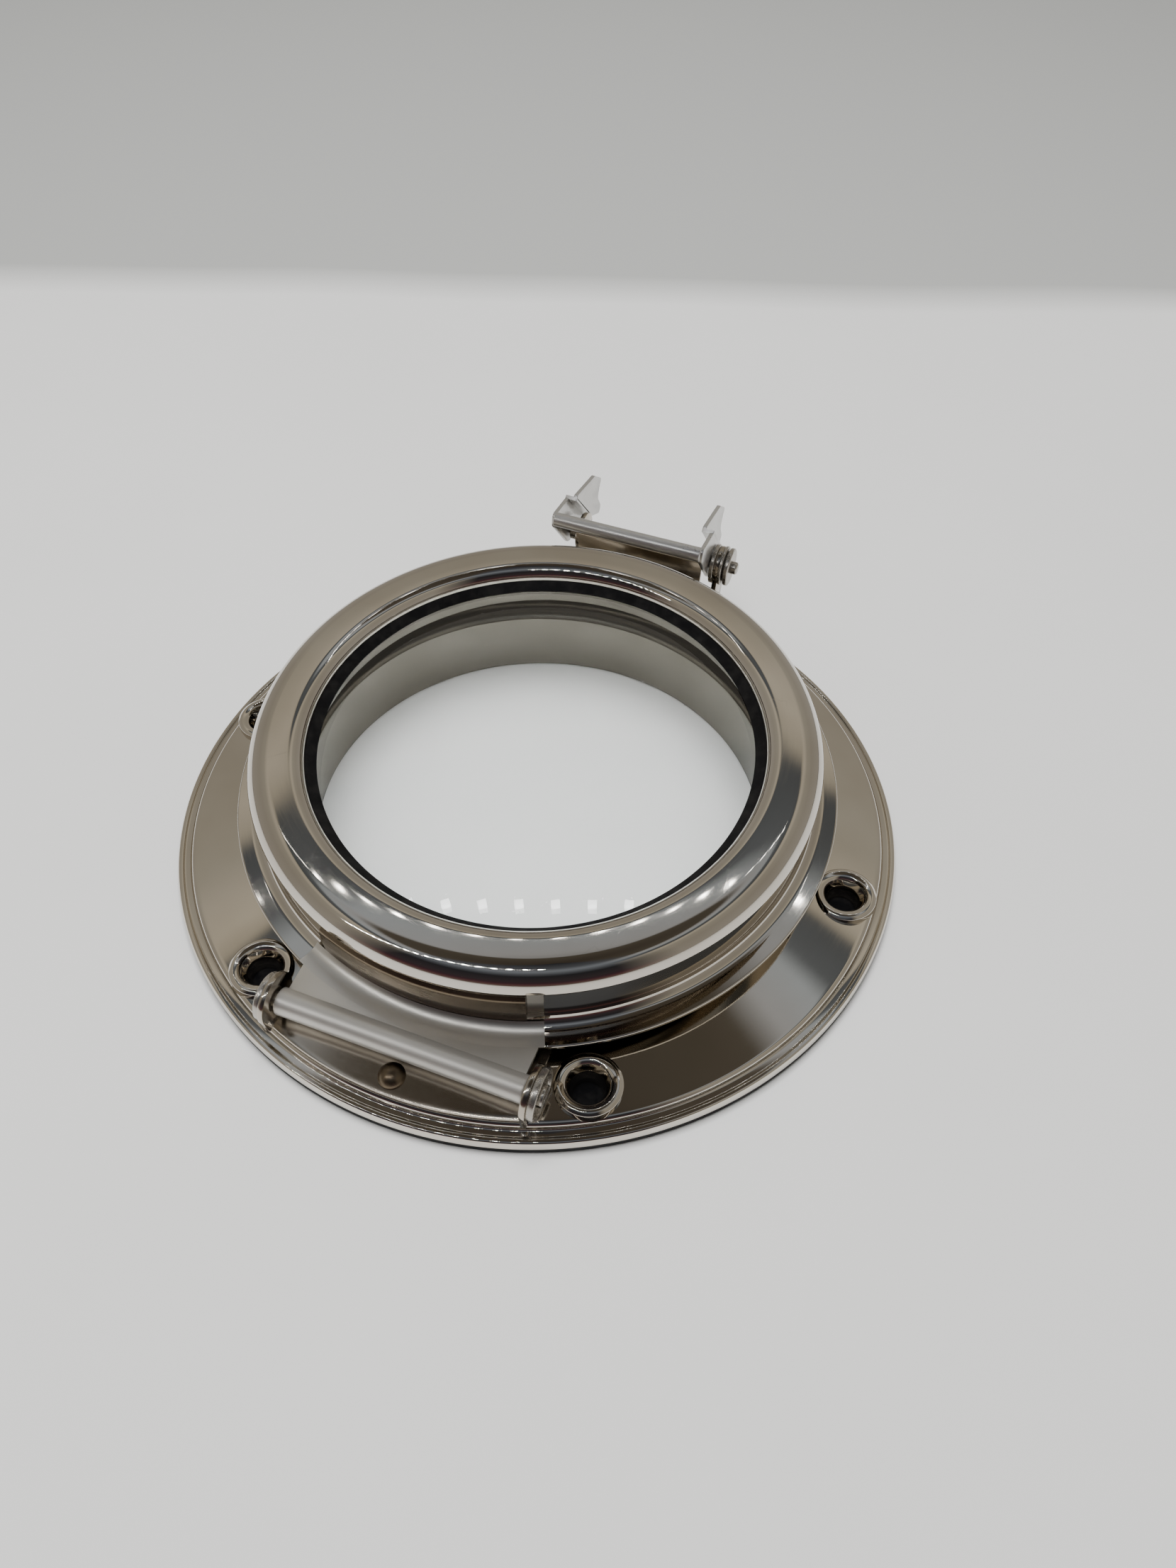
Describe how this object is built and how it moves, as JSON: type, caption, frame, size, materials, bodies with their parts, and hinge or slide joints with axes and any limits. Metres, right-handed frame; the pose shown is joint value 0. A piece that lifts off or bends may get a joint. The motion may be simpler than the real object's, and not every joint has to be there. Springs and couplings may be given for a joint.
{
  "type": "opening porthole",
  "caption": "Round opening porthole: domed steel flange with dimpled screw holes, hinged glazed lid and a bail latch opposite the hinge.",
  "frame": {"origin": "the ring's own axis in the face of the mounting gasket that meets the hull", "axes": "+Z out of the glass, -Y towards the hinge, +Y towards the latch, +X to the right seen from the hinge side"},
  "size_m": [0.1905, 0.203, 0.0424],
  "materials": {
    "polished_steel": "mirror polished stainless steel with fine polishing scratches",
    "brushed_steel": "brushed stainless steel",
    "satin_hardware": "satin turned stainless steel, dull at the edges",
    "satin_sheet": "satin stainless sheet with sheared edges",
    "black_rubber": "matt black rubber",
    "clear_glass": "clear float glass"
  },
  "bodies": {
    "base": {"mounting_gasket": "black_rubber", "base_flange": "polished_steel", "coaming": "brushed_steel", "hinge_bracket": "polished_steel", "hinge_bracket_rivet": "satin_hardware", "hinge_pin": "satin_hardware", "hinge_pin_screw": "satin_hardware", "latch_bracket": "brushed_steel", "latch_bracket_rivets": "satin_hardware", "latch_pin": "satin_hardware", "latch_inner_washer": "satin_hardware", "latch_outer_washer": "satin_hardware", "latch_spring_washer": "satin_hardware", "latch_pin_nut": "satin_hardware", "latch_spacer": "satin_hardware"},
    "lid": {"lid_frame_ring": "polished_steel", "lid_cover_ring": "polished_steel", "neck_strap": "polished_steel", "glass_pane": "clear_glass", "glazing_gasket": "black_rubber", "glass_retainer": "brushed_steel", "lid_seal": "black_rubber"},
    "bail": {"latch_bail": "satin_sheet"}
  },
  "joints": [
    {"name": "lid_hinge", "type": "hinge", "parent": "base", "child": "lid", "pos_m": [0, -0.081, 0.0134], "axis": [1, 0, 0], "range_deg": [-2.8, 107]},
    {"name": "bail_pivot", "type": "hinge", "parent": "base", "child": "bail", "pos_m": [0, 0.0885, 0.0285], "axis": [1, 0, 0], "range_deg": [-75, 13]}
  ]
}
